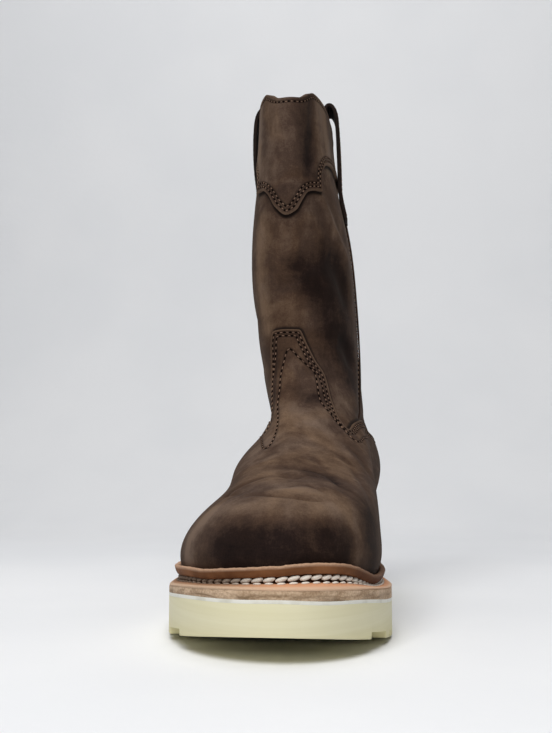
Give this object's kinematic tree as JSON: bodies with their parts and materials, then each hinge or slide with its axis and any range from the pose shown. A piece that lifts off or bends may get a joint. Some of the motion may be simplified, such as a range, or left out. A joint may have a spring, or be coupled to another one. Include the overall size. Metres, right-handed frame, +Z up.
{
  "type": "wellington work boot",
  "caption": "Right pull-on wellington work boot: hollow brown nubuck upper with a tongue-shaped vamp, scalloped collar and side pull straps on a storm-welted cream wedge sole.",
  "frame": {"origin": "middle of the boot's bounding box in plan, on the floor plane under the tread", "axes": "+Z up the shaft, -Y to the toe and +Y to the heel, +X to the inner side of the foot"},
  "size_m": [0.116, 0.3074, 0.3301],
  "materials": {
    "outsole": "matt cream foamed rubber",
    "slip_sole": "matt off-white rubber",
    "midsole": "trimmed natural leather edge",
    "insole": "plain leather board",
    "welt": "tan leather",
    "upper": "brown nubuck",
    "vamp": "brown nubuck",
    "counter": "brown nubuck",
    "collar": "brown nubuck",
    "side_seam_inner": "brown nubuck",
    "side_seam_outer": "brown nubuck",
    "pull_strap_inner": "brown leather strap",
    "pull_strap_outer": "brown leather strap"
  },
  "bodies": {
    "root": {"outsole": "outsole", "slip_sole": "slip_sole", "midsole": "midsole", "insole": "insole", "welt": "welt", "upper": "upper", "vamp": "vamp", "counter": "counter", "collar": "collar", "side_seam_inner": "side_seam_inner", "side_seam_outer": "side_seam_outer", "pull_strap_inner": "pull_strap_inner", "pull_strap_outer": "pull_strap_outer"}
  },
  "joints": []
}
